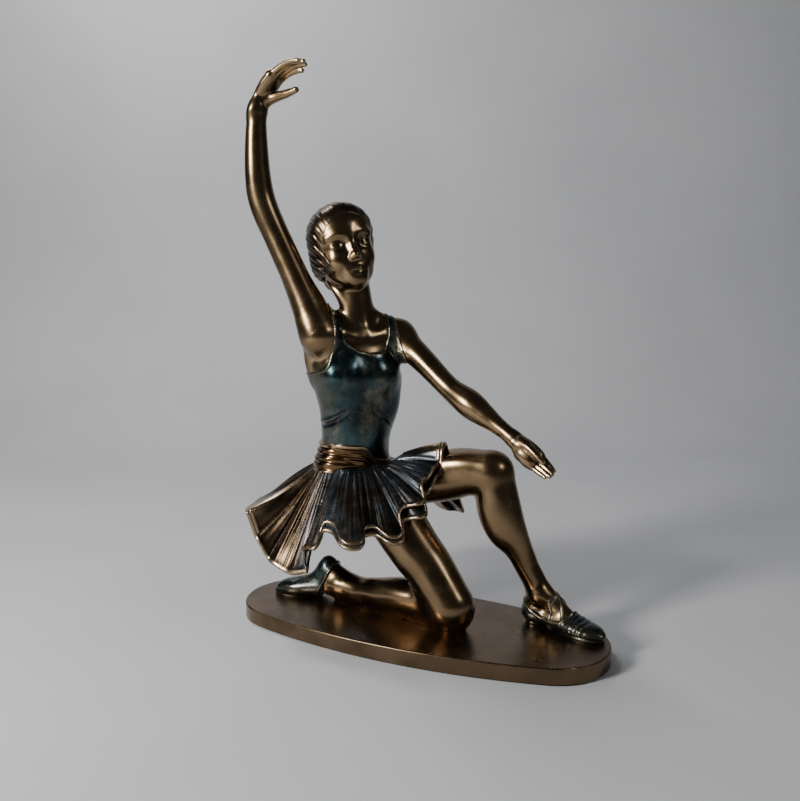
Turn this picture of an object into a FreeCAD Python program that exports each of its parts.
"""A kneeling dancer in cold-cast bronze on an oval plinth, as separate castings with the pins that join them.

Millimetres, +Z up. The origin is on the underside of the felt, at the centre of the oval. +X is the
direction that the front foot points, along the oval's long axis, and -Y is the side that the statuette is seen from.
"Left" and "right" are the dancer's own: the right knee rests on the plinth and the right arm is raised.
"""

import FreeCAD, Part
import math
import os

V = FreeCAD.Vector

# ---- plinth and its hardware ----
PLINTH_LENGTH = 170.0
PLINTH_WIDTH = 67.0
PLINTH_END_RADIUS = 26.0
PLINTH_TOP = 7.3
PLINTH_EDGE_ROUND = 0.6
FELT_THICKNESS = 0.8
FELT_INSET = 1.0
SCREW_RADIUS = 1.5
SCREW_REACH = 6.0
SCREW_HEAD_RADIUS = 2.8
SCREW_HEAD_HEIGHT = 1.6
SCREW_CLEARANCE = 0.25
WASHER_RADIUS = 3.6
WASHER_THICKNESS = 0.6
COUNTERBORE_RADIUS = 4.0
COUNTERBORE_DEPTH = 2.8
KNEE_SCREW = V(19.0, -5.5, 0)
SHIN_SCREW = V(-14.0, -0.5, 0)
FOOT_SCREW = V(62.0, 13.0, 0)

# ---- the dancer's joints, which the castings are built around ----
WAIST = V(-29, 2, 80)
BELLY = V(-28.8, 1, 90)
PELVIS = V(-26, 4, 65)
COLLAR = V(-25, -2, 136)
NECK_TOP = V(-26, -5, 151)
HEAD = V(-31, -5, 169)
RIGHT_SHOULDER = V(-37, -17, 132)
RIGHT_ELBOW = V(-58.5, -24, 181)
RIGHT_WRIST = V(-56.8, -29, 223)
RIGHT_KNUCKLES = V(-46.5, -32, 233.5)
RIGHT_FINGERS = V(-38, -34, 237)
RIGHT_FINGERTIP = V(-29.5, -35, 236)
LEFT_SHOULDER = V(-12.7, 9, 131)
LEFT_ELBOW = V(18, 1, 106)
LEFT_WRIST = V(45.5, -7, 89.5)
LEFT_KNUCKLES = V(54, -9, 83)
LEFT_FINGERTIP = V(65, -13, 74.5)
LEFT_HIP = V(-22, 11, 66)
LEFT_KNEE = V(31.5, 12, 71)
LEFT_ANKLE = V(51, 16.5, 22)
RIGHT_HIP = V(-17, -3, 63)
RIGHT_KNEE = V(21.5, -6, 17.4)
RIGHT_ANKLE = V(-40, 4.5, 15.5)

# ---- directions that the body faces, in degrees from -Y towards +X ----
HIPS_FACE = 62.0
CHEST_FACE = 47.0
HEAD_FACE = 46.0
HEAD_BACK_TILT = 8.0
HEAD_SIDE_TILT = 8.0

# ---- joints between the castings ----
PIN_RADIUS = 1.25
PIN_LENGTH = 12.0
ROD_RADIUS = 2.0
LEOTARD_THICKNESS = 0.7
LEOTARD_TOP = 134.0

ROUND = 12
BIG = 400.0


def facing(degrees):
    """The unit vector that a body turned by this many degrees from -Y towards +X looks along."""
    a = math.radians(degrees)
    return V(math.sin(a), -math.cos(a), 0)


def to_left(degrees):
    """The dancer's left when facing that way."""
    a = math.radians(degrees)
    return V(math.cos(a), math.sin(a), 0)


def unit(v):
    return V(v).normalize()


def mix(a, b, t):
    return a + (b - a) * t


def section(centre, axis, side, width, front, back=None):
    """A closed smooth wire across axis: half-width along side, and its own depth to the front and to the back."""
    back = front if back is None else back
    axis = unit(axis)
    side = unit(side - axis * side.dot(axis))
    forward = axis.cross(side)
    points = []
    for i in range(ROUND):
        a = 2 * math.pi * i / ROUND
        depth = front if math.sin(a) > 0 else back
        points.append(centre + side * (width * math.cos(a)) + forward * (depth * math.sin(a)))
    curve = Part.BSplineCurve()
    curve.interpolate(Points=points, PeriodicFlag=True)
    return Part.Wire([curve.toShape()])


def limb(stations, side):
    """A solid through stations of (centre, half-width, front, back); its axis follows the centres."""
    wires = []
    last = len(stations) - 1
    for i, (centre, width, front, back) in enumerate(stations):
        before = stations[max(i - 1, 0)][0]
        after = stations[min(i + 1, last)][0]
        wires.append(section(centre, after - before, side, width, front, back))
    return Part.makeLoft(wires, True, False)


def ball(centre, radius):
    return Part.makeSphere(radius, centre)


def ellipsoid(centre, across, deep, high, face=0.0):
    """An ellipsoid with half-axes across (to the left), deep (forwards) and high, turned to face that way."""
    matrix = FreeCAD.Matrix()
    matrix.scale(across, deep, high)
    shape = Part.makeSphere(1.0).transformGeometry(matrix)
    shape.rotate(V(0, 0, 0), V(0, 0, 1), face)
    shape.translate(centre)
    return shape


def beyond(point, normal):
    """A large block on the normal's side of a plane."""
    block = Part.makeBox(BIG, BIG, BIG, V(-BIG / 2, -BIG / 2, 0))
    block.Placement = FreeCAD.Placement(point, FreeCAD.Rotation(V(0, 0, 1), unit(normal)))
    return block


def rod(start, end, radius):
    return Part.makeCylinder(radius, (end - start).Length, start, end - start)


def pin(point, direction, radius=PIN_RADIUS, length=PIN_LENGTH):
    """A dowel centred on a joint face."""
    half = unit(direction) * (length / 2)
    return rod(point - half, point + half, radius)


def fused(*shapes):
    return shapes[0].multiFuse(list(shapes[1:]))


def without(shape, *others):
    """shape with the others cut away, keeping its largest solid."""
    for other in others:
        shape = shape.cut(other)
    return largest(shape)


def largest(shape):
    return max(shape.Solids, key=lambda solid: solid.Volume)


# ---- plinth ----


def oval(length, width, end_radius, z):
    """A flat oval face of four tangent arcs."""
    a, b, r = length / 2, width / 2, end_radius
    side_radius = (a * a - 2 * a * r + b * b) / (2 * (b - r))
    half_angle = math.atan2(a - r, side_radius - b)
    joins = {}
    for sx in (-1, 1):
        for sy in (-1, 1):
            centre_y = -sy * (side_radius - b)
            joins[sx, sy] = V(
                sx * side_radius * math.sin(half_angle),
                centre_y + sy * side_radius * math.cos(half_angle),
                z,
            )
    arcs = [
        Part.Arc(joins[-1, -1], V(0, -b, z), joins[1, -1]),
        Part.Arc(joins[1, -1], V(a, 0, z), joins[1, 1]),
        Part.Arc(joins[1, 1], V(0, b, z), joins[-1, 1]),
        Part.Arc(joins[-1, 1], V(-a, 0, z), joins[-1, -1]),
    ]
    return Part.Face(Part.Wire([arc.toShape() for arc in arcs]))


def screw_places():
    return [KNEE_SCREW, SHIN_SCREW, FOOT_SCREW]


def plinth():
    body = oval(PLINTH_LENGTH, PLINTH_WIDTH, PLINTH_END_RADIUS, FELT_THICKNESS).extrude(
        V(0, 0, PLINTH_TOP - FELT_THICKNESS)
    )
    top_edges = [edge for edge in body.Edges if edge.BoundBox.ZMin > PLINTH_TOP - 0.01]
    body = body.makeFillet(PLINTH_EDGE_ROUND, top_edges)
    for place in screw_places():
        hole = Part.makeCylinder(SCREW_RADIUS + SCREW_CLEARANCE, PLINTH_TOP, place)
        counterbore = Part.makeCylinder(
            COUNTERBORE_RADIUS, FELT_THICKNESS + COUNTERBORE_DEPTH, place
        )
        body = body.cut(hole).cut(counterbore)
    return body


def felt():
    return oval(
        PLINTH_LENGTH - 2 * FELT_INSET,
        PLINTH_WIDTH - 2 * FELT_INSET,
        PLINTH_END_RADIUS - FELT_INSET,
        0,
    ).extrude(V(0, 0, FELT_THICKNESS))


def washers():
    seat = FELT_THICKNESS + COUNTERBORE_DEPTH - WASHER_THICKNESS
    rings = []
    for place in screw_places():
        at = place + V(0, 0, seat)
        ring = Part.makeCylinder(WASHER_RADIUS, WASHER_THICKNESS, at)
        rings.append(ring.cut(Part.makeCylinder(SCREW_RADIUS + 0.1, WASHER_THICKNESS, at)))
    return Part.makeCompound(rings)


def screw(place):
    """A pan-head screw whose head bears on its washer and whose shank reaches into the casting above."""
    under_head = FELT_THICKNESS + COUNTERBORE_DEPTH - WASHER_THICKNESS
    head = Part.makeCylinder(
        SCREW_HEAD_RADIUS, SCREW_HEAD_HEIGHT, place + V(0, 0, under_head - SCREW_HEAD_HEIGHT)
    )
    head = head.makeFillet(0.5, [e for e in head.Edges if e.BoundBox.ZMax < under_head - 1])
    shank = Part.makeCylinder(
        SCREW_RADIUS, PLINTH_TOP + SCREW_REACH - under_head, place + V(0, 0, under_head)
    )
    slot = Part.makeBox(
        2 * SCREW_HEAD_RADIUS, 0.7, 0.8, place + V(-SCREW_HEAD_RADIUS, -0.35, under_head - SCREW_HEAD_HEIGHT)
    )
    return head.fuse(shank).removeSplitter().cut(slot)


def screw_shank(place):
    return Part.makeCylinder(SCREW_RADIUS, PLINTH_TOP + SCREW_REACH, place)


# ---- legs and feet ----

FRONT_HEEL = V(42.8, 19.5, PLINTH_TOP)
FRONT_TOE = V(80.5, 7.5, PLINTH_TOP)
BACK_TOE = V(-72.5, 0.5, PLINTH_TOP)


def front_foot():
    """The foot in its slipper, flat on the plinth, as (centre along the foot, half-width, height) stations."""
    along = unit(FRONT_TOE - FRONT_HEEL)
    side = V(0, 0, 1).cross(along)
    length = (FRONT_TOE - FRONT_HEEL).Length
    stations = []
    for share, width, height in (
        (0.0, 2.6, 8.0),
        (0.08, 4.4, 11.0),
        (0.25, 5.0, 12.0),
        (0.45, 5.4, 11.0),
        (0.65, 6.6, 8.0),
        (0.82, 6.3, 5.6),
        (0.95, 4.4, 4.2),
        (1.0, 2.0, 2.6),
    ):
        centre = FRONT_HEEL + along * (length * share) + V(0, 0, height * 0.44)
        stations.append((centre, width, height * 0.56, height * 0.56))
    return limb(stations, side).cut(beyond(V(0, 0, PLINTH_TOP), V(0, 0, -1)))


def front_slipper_opening():
    """The cylinder across the foot above which the instep shows."""
    along = unit(FRONT_TOE - FRONT_HEEL)
    side = V(0, 0, 1).cross(along)
    centre = FRONT_HEEL + along * 15.0 + V(0, 0, 20.0)
    return rod(centre - side * 20, centre + side * 20, 14.0)


def front_leg():
    side = V(0, 1, 0)
    down = unit(LEFT_ANKLE - LEFT_KNEE)
    thigh = limb(
        [
            (mix(LEFT_HIP, LEFT_KNEE, 0.02), 13.0, 12.5, 12.5),
            (mix(LEFT_HIP, LEFT_KNEE, 0.3), 12.4, 12.2, 12.2),
            (mix(LEFT_HIP, LEFT_KNEE, 0.6), 11.0, 11.2, 11.2),
            (mix(LEFT_HIP, LEFT_KNEE, 0.85), 9.4, 10.0, 10.0),
            (LEFT_KNEE, 8.8, 9.6, 9.6),
        ],
        side,
    )
    back = down.cross(side)
    calf = limb(
        [
            (LEFT_KNEE, 8.6, 8.6, 8.6),
            (mix(LEFT_KNEE, LEFT_ANKLE, 0.2) + back * -0.8, 8.2, 8.2, 8.2),
            (mix(LEFT_KNEE, LEFT_ANKLE, 0.4) + back * -1.6, 8.0, 8.2, 8.2),
            (mix(LEFT_KNEE, LEFT_ANKLE, 0.62) + back * -1.2, 6.4, 6.6, 6.6),
            (mix(LEFT_KNEE, LEFT_ANKLE, 0.85), 4.6, 5.0, 5.0),
            (LEFT_ANKLE, 4.6, 5.0, 5.0),
            (LEFT_ANKLE + V(1.0, -0.4, -8), 4.3, 5.6, 5.6),
        ],
        side,
    )
    instep = front_foot().common(front_slipper_opening())
    leg = fused(thigh, ball(LEFT_KNEE, 9.4), calf, instep)
    return without(leg, beyond(hip_joint("left"), LEFT_HIP - LEFT_KNEE), kneeling_leg())


def front_slipper():
    shoe = front_foot().cut(front_slipper_opening())
    return without(shoe, front_leg())


def ankle_strap():
    """The narrow ribbon that crosses the instep of the front foot."""
    along = unit(FRONT_TOE - FRONT_HEEL)
    side = V(0, 0, 1).cross(along)
    middle = FRONT_HEEL + along * 18.0
    turn = math.degrees(math.atan2(side.y, side.x))
    hoop = ellipsoid(middle + V(0, 0, 4.0), 6.6, 1.1, 9.0, turn)
    return hoop.cut(front_leg()).cut(front_slipper()).cut(beyond(V(0, 0, PLINTH_TOP), V(0, 0, -1)))


def kneeling_foot():
    """The foot of the kneeling leg: instep down, sole facing up and back."""
    side = V(0.06, 1, 0)
    foot = limb(
        [
            (V(-36, 4.4, 15.6), 4.6, 8.8, 5.4),
            (V(-41, 4.4, 16.6), 4.8, 9.8, 6.2),
            (V(-46, 4.2, 17.2), 5.0, 10.4, 8.6),
            (V(-51, 3.6, 14.6), 5.4, 7.9, 7.4),
            (V(-58, 2.6, 12.2), 6.4, 5.5, 5.0),
            (V(-66, 1.6, 10.6), 6.4, 3.9, 3.4),
            (V(-71, 0.8, 9.8), 4.8, 3.1, 2.5),
            (BACK_TOE + V(0, 0, 2.2), 2.4, 2.6, 1.6),
        ],
        side,
    )
    return foot.cut(beyond(V(0, 0, PLINTH_TOP), V(0, 0, -1)))


def kneeling_leg():
    thigh = limb(
        [
            (mix(RIGHT_HIP, RIGHT_KNEE, 0.02), 13.0, 13.0, 13.0),
            (mix(RIGHT_HIP, RIGHT_KNEE, 0.3), 11.6, 11.8, 11.8),
            (mix(RIGHT_HIP, RIGHT_KNEE, 0.6), 10.2, 10.6, 10.6),
            (mix(RIGHT_HIP, RIGHT_KNEE, 0.85), 9.4, 9.8, 9.8),
            (RIGHT_KNEE, 8.8, 9.4, 9.4),
        ],
        V(0, 1, 0),
    )
    calf = limb(
        [
            (RIGHT_KNEE, 8.6, 10.6, 8.8),
            (mix(RIGHT_KNEE, RIGHT_ANKLE, 0.2), 8.2, 10.4, 8.6),
            (mix(RIGHT_KNEE, RIGHT_ANKLE, 0.4) + V(0, 0, 0.4), 7.8, 10.2, 8.0),
            (mix(RIGHT_KNEE, RIGHT_ANKLE, 0.65) + V(0, 0, -0.6), 6.2, 8.9, 6.4),
            (mix(RIGHT_KNEE, RIGHT_ANKLE, 0.85) + V(0, 0, -0.8), 4.8, 8.3, 5.4),
            (RIGHT_ANKLE + V(0, 0, 0.4), 4.6, 9.0, 5.8),
        ],
        V(0, 1, 0),
    )
    kneecap = ellipsoid(RIGHT_KNEE + V(1.0, 0, -0.6), 9.2, 10.2, 10.2, 90)
    leg = fused(thigh, kneecap, calf).cut(beyond(V(0, 0, PLINTH_TOP), V(0, 0, -1)))
    return without(
        leg,
        beyond(hip_joint("right"), RIGHT_HIP - RIGHT_KNEE),
        beyond(RIGHT_ANKLE, V(-1, 0.1, 0)),
    )


def kneeling_slipper():
    return without(kneeling_foot(), beyond(RIGHT_ANKLE, V(1, -0.1, 0)))


def hip_joint(which):
    """The middle of the flat face where a leg casting meets the pelvis."""
    hip, knee = (LEFT_HIP, LEFT_KNEE) if which == "left" else (RIGHT_HIP, RIGHT_KNEE)
    return hip + unit(knee - hip) * 7.0


# ---- trunk ----


def pelvis():
    left = to_left(HIPS_FACE)
    hips = limb(
        [
            (WAIST + V(0, 0, 4), 13.6, 11.0, 11.0),
            (V(-28, 3, 74), 14.8, 12.2, 12.2),
            (PELVIS, 16.4, 13.8, 13.8),
            (V(-23, 4.5, 58), 14.5, 13.0, 13.0),
            (V(-21, 4.5, 52), 9.0, 9.0, 9.0),
        ],
        left,
    )
    hips = fused(hips, ball(LEFT_HIP, 12.0), ball(RIGHT_HIP, 12.0))
    return without(
        hips,
        beyond(WAIST, BELLY - WAIST),
        beyond(hip_joint("left"), LEFT_KNEE - LEFT_HIP),
        beyond(hip_joint("right"), RIGHT_KNEE - RIGHT_HIP),
    )


def trunk(grow=0.0):
    """The chest from the waist to the collar, grown outwards for the cloth over it."""
    left = to_left(CHEST_FACE)
    stations = [
        (WAIST, 14.0, 11.4),
        (BELLY, 15.4, 12.0),
        (V(-28.4, -0.5, 100), 17.0, 13.2),
        (V(-28, -2, 110), 18.8, 14.2),
        (V(-27.5, -3, 119), 19.8, 14.4),
        (V(-26.5, -3.5, 127), 19.0, 12.0),
        (V(-25.5, -3, 133), 15.0, 9.6),
        (COLLAR + V(0, 0, 1.5), 9.0, 8.0),
    ]
    return limb([(c, w + grow, d + grow, d + grow) for c, w, d in stations], left)


def shoulder_plane(which):
    """(point, outward direction) of the flat face where an arm casting meets the trunk."""
    if which == "right":
        return RIGHT_SHOULDER + V(-1.5, -1.5, 4), unit(V(-0.55, -0.5, 0.75))
    return LEFT_SHOULDER + V(0.5, 0.2, 0), unit(V(0.9, 0.45, -0.1))


def torso():
    """The bronze core that the arms, the head and the leotard's relief are fitted to."""
    girdle = limb(
        [
            (RIGHT_SHOULDER, 8.4, 8.8, 8.8),
            (mix(RIGHT_SHOULDER, V(-25, -3, 131), 0.5), 8.0, 8.2, 8.2),
            (V(-25, -3, 131.5), 7.8, 8.0, 8.0),
            (mix(LEFT_SHOULDER, V(-25, -3, 131), 0.4), 7.2, 7.2, 7.2),
            (LEFT_SHOULDER, 7.0, 7.0, 7.0),
        ],
        V(0, 0, 1),
    )
    shoulders = fused(trunk(), girdle, ball(RIGHT_SHOULDER, 9.0), ball(LEFT_SHOULDER, 7.4))
    cutters = [beyond(*shoulder_plane("right")), beyond(*shoulder_plane("left"))]
    cutters.append(beyond(COLLAR, COLLAR - V(-25, 0, 120)))
    return without(shoulders, *cutters)


def neck_opening():
    """What the leotard leaves bare at the front and back of the neck."""
    forward = facing(CHEST_FACE)
    low_front = COLLAR + forward * 11 + V(0, 0, -1.5)
    return fused(ellipsoid(low_front, 9.5, 11.0, 10.5, CHEST_FACE), ball(COLLAR, 11.0))


def leotard():
    shell = trunk(LEOTARD_THICKNESS).cut(torso()).cut(neck_opening())
    for which, radius in (("right", 14.0), ("left", 10.5)):
        point, outward = shoulder_plane(which)
        shell = shell.cut(ball(point + outward * (radius * 0.55), radius))
    arms = [raised_arm(), lowered_arm()]
    return without(shell, beyond(WAIST, V(0, 0, -1)), beyond(V(0, 0, LEOTARD_TOP), V(0, 0, 1)), *arms)


def sash():
    """The folded band round the waist, over the foot of the leotard and the top of the skirt."""
    left = to_left(CHEST_FACE)
    outer = limb(
        [
            (V(-28.6, 2.6, 75.3), 16.6, 14.2, 14.2),
            (V(-28.8, 2.2, 79), 16.9, 14.3, 14.3),
            (V(-28.8, 1.6, 83), 16.6, 13.8, 13.8),
            (V(-28.8, 1.4, 86), 16.2, 13.2, 13.2),
        ],
        left,
    )
    return without(outer, trunk(LEOTARD_THICKNESS), pelvis(), front_leg())


# ---- arms ----


def raised_arm():
    """Shoulder to fingertips, with the fingers held together and the thumb apart."""
    side = unit(V(0.5, -0.8, 0.2))
    arm = limb(
        [
            (RIGHT_SHOULDER, 8.4, 8.8, 8.8),
            (mix(RIGHT_SHOULDER, RIGHT_ELBOW, 0.25), 6.8, 7.2, 7.2),
            (mix(RIGHT_SHOULDER, RIGHT_ELBOW, 0.55), 5.4, 5.6, 5.6),
            (mix(RIGHT_SHOULDER, RIGHT_ELBOW, 0.85), 5.0, 5.2, 5.2),
            (mix(RIGHT_ELBOW, RIGHT_WRIST, 0.08), 5.2, 5.4, 5.4),
            (mix(RIGHT_ELBOW, RIGHT_WRIST, 0.4) + V(-1.5, -0.5, 0), 5.0, 5.0, 5.0),
            (mix(RIGHT_ELBOW, RIGHT_WRIST, 0.75), 4.0, 3.8, 3.8),
            (RIGHT_WRIST, 3.6, 3.0, 3.0),
        ],
        side,
    )
    hand = limb(
        [
            (mix(RIGHT_ELBOW, RIGHT_WRIST, 0.93), 3.5, 3.0, 3.0),
            (mix(RIGHT_WRIST, RIGHT_KNUCKLES, 0.35), 4.2, 2.7, 2.7),
            (RIGHT_KNUCKLES, 4.8, 2.4, 2.4),
            (RIGHT_FINGERS, 4.0, 1.7, 1.7),
            (RIGHT_FINGERTIP, 2.2, 1.1, 1.1),
        ],
        side,
    )
    thumb = limb(
        [
            (mix(RIGHT_WRIST, RIGHT_KNUCKLES, 0.3), 2.2, 2.0, 2.0),
            (V(-46.5, -31.5, 227.6), 1.7, 1.6, 1.6),
            (V(-38.5, -32, 229), 1.1, 1.1, 1.1),
        ],
        side,
    )
    point, outward = shoulder_plane("right")
    return without(fused(arm, hand, thumb), beyond(point, outward * -1))


def lowered_arm():
    side = unit(V(0.2, -0.9, -0.2))
    arm = limb(
        [
            (LEFT_SHOULDER, 7.0, 7.6, 7.6),
            (mix(LEFT_SHOULDER, LEFT_ELBOW, 0.2), 6.6, 7.0, 7.0),
            (mix(LEFT_SHOULDER, LEFT_ELBOW, 0.55), 5.2, 5.6, 5.6),
            (mix(LEFT_SHOULDER, LEFT_ELBOW, 0.9), 4.6, 5.0, 5.0),
            (mix(LEFT_ELBOW, LEFT_WRIST, 0.25), 4.8, 5.0, 5.0),
            (mix(LEFT_ELBOW, LEFT_WRIST, 0.65), 3.8, 4.0, 4.0),
            (LEFT_WRIST, 3.0, 2.8, 2.8),
        ],
        side,
    )
    palm_side = unit(V(0.5, -0.1, 0.85))
    hand = limb(
        [
            (mix(LEFT_ELBOW, LEFT_WRIST, 0.93), 3.0, 2.6, 2.6),
            (mix(LEFT_WRIST, LEFT_KNUCKLES, 0.5), 4.2, 2.4, 2.4),
            (LEFT_KNUCKLES, 4.6, 2.0, 2.0),
            (mix(LEFT_KNUCKLES, LEFT_FINGERTIP, 0.5), 3.8, 1.6, 1.6),
            (LEFT_FINGERTIP, 2.0, 1.0, 1.0),
        ],
        palm_side,
    )
    point, outward = shoulder_plane("left")
    return without(fused(arm, hand), beyond(point, outward * -1))


# ---- head ----


def tilted(shape):
    """A shape made upright on the head's centre, tilted back and to the dancer's right as the head is."""
    shape = shape.copy()
    shape.rotate(HEAD, to_left(HEAD_FACE), -HEAD_BACK_TILT)
    shape.rotate(HEAD, facing(HEAD_FACE), HEAD_SIDE_TILT)
    return shape


def skull():
    forward = facing(HEAD_FACE)
    cranium = ellipsoid(HEAD - forward * 1.5 + V(0, 0, 3), 12.4, 15.0, 14.2, HEAD_FACE)
    jaw = ellipsoid(HEAD + forward * 4.2 + V(0, 0, -5.5), 9.6, 10.0, 12.2, HEAD_FACE)
    return tilted(fused(cranium, jaw))


def head():
    neck = limb(
        [
            (COLLAR + V(0.5, 0, -2), 8.0, 7.6, 7.6),
            (mix(COLLAR, NECK_TOP, 0.35), 6.4, 6.4, 6.4),
            (mix(COLLAR, NECK_TOP, 0.7), 6.2, 6.3, 6.3),
            (NECK_TOP + V(-1.5, 0.5, 5), 7.0, 7.6, 7.6),
        ],
        to_left(HEAD_FACE),
    )
    return without(fused(neck, skull()), beyond(COLLAR, V(-25, 0, 120) - COLLAR), torso())


def hair_shell():
    """The hair drawn back from the face, as a shell over the skull."""
    forward = facing(HEAD_FACE)
    cap = tilted(ellipsoid(HEAD - forward * 2.2 + V(0, 0, 3.4), 13.6, 16.0, 15.4, HEAD_FACE))
    face_side = beyond(HEAD + forward * 3.5, forward * 0.75 + V(0, 0, -0.42))
    return cap.cut(skull()).cut(face_side)


def hair():
    return without(hair_shell(), head())


def bun():
    """The knot of hair at the nape."""
    forward = facing(HEAD_FACE)
    knot = tilted(ellipsoid(HEAD - forward * 14.5 + V(0, 0, -7.5), 6.4, 5.6, 6.0, HEAD_FACE))
    return without(knot, hair_shell(), head())


# ---- skirt ----

SKIRT_CENTRE = V(-28.5, 3.0, 0)
SKIRT_TOP = 75.0
SKIRT_TOP_HALF_WIDTH = 18.2
SKIRT_TOP_HALF_DEPTH = 15.8
SKIRT_SEAM = 200.0
# Hem of the upper tier: (azimuth from +X, distance from the centre, height).
HEM = (
    (15, 37.0, 84.0),
    (50, 39.0, 64.0),
    (85, 42.0, 50.0),
    (120, 45.0, 46.0),
    (155, 48.0, 48.0),
    (182, 51.0, 51.0),
    (205, 51.0, 50.0),
    (225, 46.0, 38.0),
    (245, 39.0, 32.0),
    (268, 36.0, 46.0),
    (292, 36.0, 49.0),
    (318, 36.0, 50.0),
    (340, 35.0, 61.0),
)
RUFFLES = 13
SKIRT_AROUND = 104
SKIRT_DOWN = 6
SKIRT_THICKNESS = 1.3
TIER_GAP = 1.9
TIER_DROP = 3.2
LOWER_TIER_START = 0.26
THIGH_CLEARANCE = 13.3


def hem_at(azimuth):
    """(distance, height) of the hem, eased between the listed azimuths."""
    for i, (a0, r0, z0) in enumerate(HEM):
        a1, r1, z1 = HEM[(i + 1) % len(HEM)]
        span = (a1 - a0) % 360
        part = (azimuth - a0) % 360
        if part < span:
            t = part / span
            t = t * t * (3 - 2 * t)
            return r0 + (r1 - r0) * t, z0 + (z1 - z0) * t
    return HEM[0][1:]


def skirt_point(azimuth, down, inset, drop):
    """A point on a tier's outer face: down runs from 0 at the waist to 1 at the hem."""
    a = math.radians(azimuth)
    turned = a - math.radians(HIPS_FACE)
    top = 1 / math.hypot(math.cos(turned) / SKIRT_TOP_HALF_WIDTH, math.sin(turned) / SKIRT_TOP_HALF_DEPTH)
    reach, height = hem_at(azimuth)
    wave = math.cos(RUFFLES * a) * down ** 1.6
    distance = top + (reach - top) * down + 2.2 * wave - inset
    sag = 5.0 * math.sin(math.pi * down)
    z = SKIRT_TOP + (height - drop * down - SKIRT_TOP) * down + sag + 2.2 * wave - inset * 0.4
    return SKIRT_CENTRE + V(distance * math.cos(a), distance * math.sin(a), z)


def skirt_surface(inset, drop, start):
    downs = [start + (1 - start) * j / SKIRT_DOWN for j in range(SKIRT_DOWN + 1)]
    grid = []
    for i in range(SKIRT_AROUND + 1):
        azimuth = SKIRT_SEAM + 360.0 * (i % SKIRT_AROUND) / SKIRT_AROUND
        grid.append([skirt_point(azimuth, down, inset, drop) for down in downs])
    surface = Part.BSplineSurface()
    surface.interpolate(grid)
    return surface


def skirt_tier(inset=0.0, drop=0.0, start=0.0):
    """A ruffled shell: an outer and an inner face, closed by a rim at the waist and one at the hem."""
    outer = skirt_surface(inset, drop, start)
    inner = skirt_surface(inset + SKIRT_THICKNESS, drop, start)
    faces = [outer.toShape(), inner.toShape()]
    for v in (0.0, 1.0):
        rims = []
        for surface in (outer, inner):
            u0, u1, v0, v1 = surface.bounds()
            rims.append(surface.vIso(v0 if v == 0.0 else v1).toShape())
        faces.append(Part.makeRuledSurface(rims[0], rims[1]))
    shell = Part.makeShell(faces)
    shell.sewShape()
    solid = Part.makeSolid(shell)
    if solid.Volume < 0:
        solid.reverse()
    return solid


def thigh_room(hip, knee):
    """The space round a thigh that the lower tier is kept out of."""
    r = THIGH_CLEARANCE
    stations = [(-0.15, r), (0.2, r), (0.55, r - 0.6), (0.9, r - 1.2)]
    return limb([(mix(hip, knee, t), radius, radius, radius) for t, radius in stations], V(0.2, 1, 0.1))


# ---- the parts ----


def main():
    os.makedirs("parts", exist_ok=True)
    thigh_left, thigh_right = LEFT_KNEE - LEFT_HIP, RIGHT_KNEE - RIGHT_HIP
    right_at, right_out = shoulder_plane("right")
    left_at, left_out = shoulder_plane("left")
    hip_pins = [pin(hip_joint("left"), thigh_left), pin(hip_joint("right"), thigh_right)]
    shoulder_pins = [pin(right_at, right_out), pin(left_at, left_out, length=10)]
    neck_pin = pin(COLLAR, NECK_TOP - COLLAR)
    waist_rod = rod(WAIST - V(0, 0, 12), WAIST + V(0, 0, 16), ROD_RADIUS)
    shanks = [screw_shank(place) for place in screw_places()]

    legs = [front_leg(), kneeling_leg()]
    slipper, back_slipper = front_slipper(), kneeling_slipper()
    hips, core, band = pelvis(), torso(), sash()
    rooms = [thigh_room(LEFT_HIP, LEFT_KNEE), thigh_room(RIGHT_HIP, RIGHT_KNEE)]
    upper = without(skirt_tier(), *legs)
    lower = without(skirt_tier(TIER_GAP, TIER_DROP, LOWER_TIER_START), *rooms)
    parts = {
        "plinth": plinth(),
        "felt_pad": felt(),
        "base_screws": Part.makeCompound([screw(place) for place in screw_places()]),
        "base_washers": washers(),
        "front_leg": legs[0].cut(hip_pins[0]).cut(shanks[2]),
        "front_slipper": slipper.cut(shanks[2]),
        "ankle_strap": ankle_strap(),
        "kneeling_leg": legs[1].cut(hip_pins[1]).cut(shanks[0]).cut(shanks[1]),
        "kneeling_slipper": back_slipper,
        "pelvis": hips.cut(hip_pins[0]).cut(hip_pins[1]).cut(waist_rod),
        "hip_dowels": Part.makeCompound(hip_pins),
        "waist_rod": waist_rod,
        "torso": core.cut(shoulder_pins[0]).cut(shoulder_pins[1]).cut(neck_pin).cut(waist_rod),
        "shoulder_dowels": Part.makeCompound(shoulder_pins),
        "neck_dowel": neck_pin,
        "leotard": leotard(),
        "waist_sash": band,
        "raised_arm": raised_arm().cut(shoulder_pins[0]),
        "lowered_arm": lowered_arm().cut(shoulder_pins[1]),
        "head": head().cut(neck_pin),
        "hair": hair(),
        "hair_bun": bun(),
        "skirt_upper_tier": upper,
        "skirt_lower_tier": lower,
    }
    for name, shape in parts.items():
        print(name, round(shape.Volume, 1), shape.isValid(), len(shape.Solids))
        shape.exportStep(f"parts/{name}.step")


main()
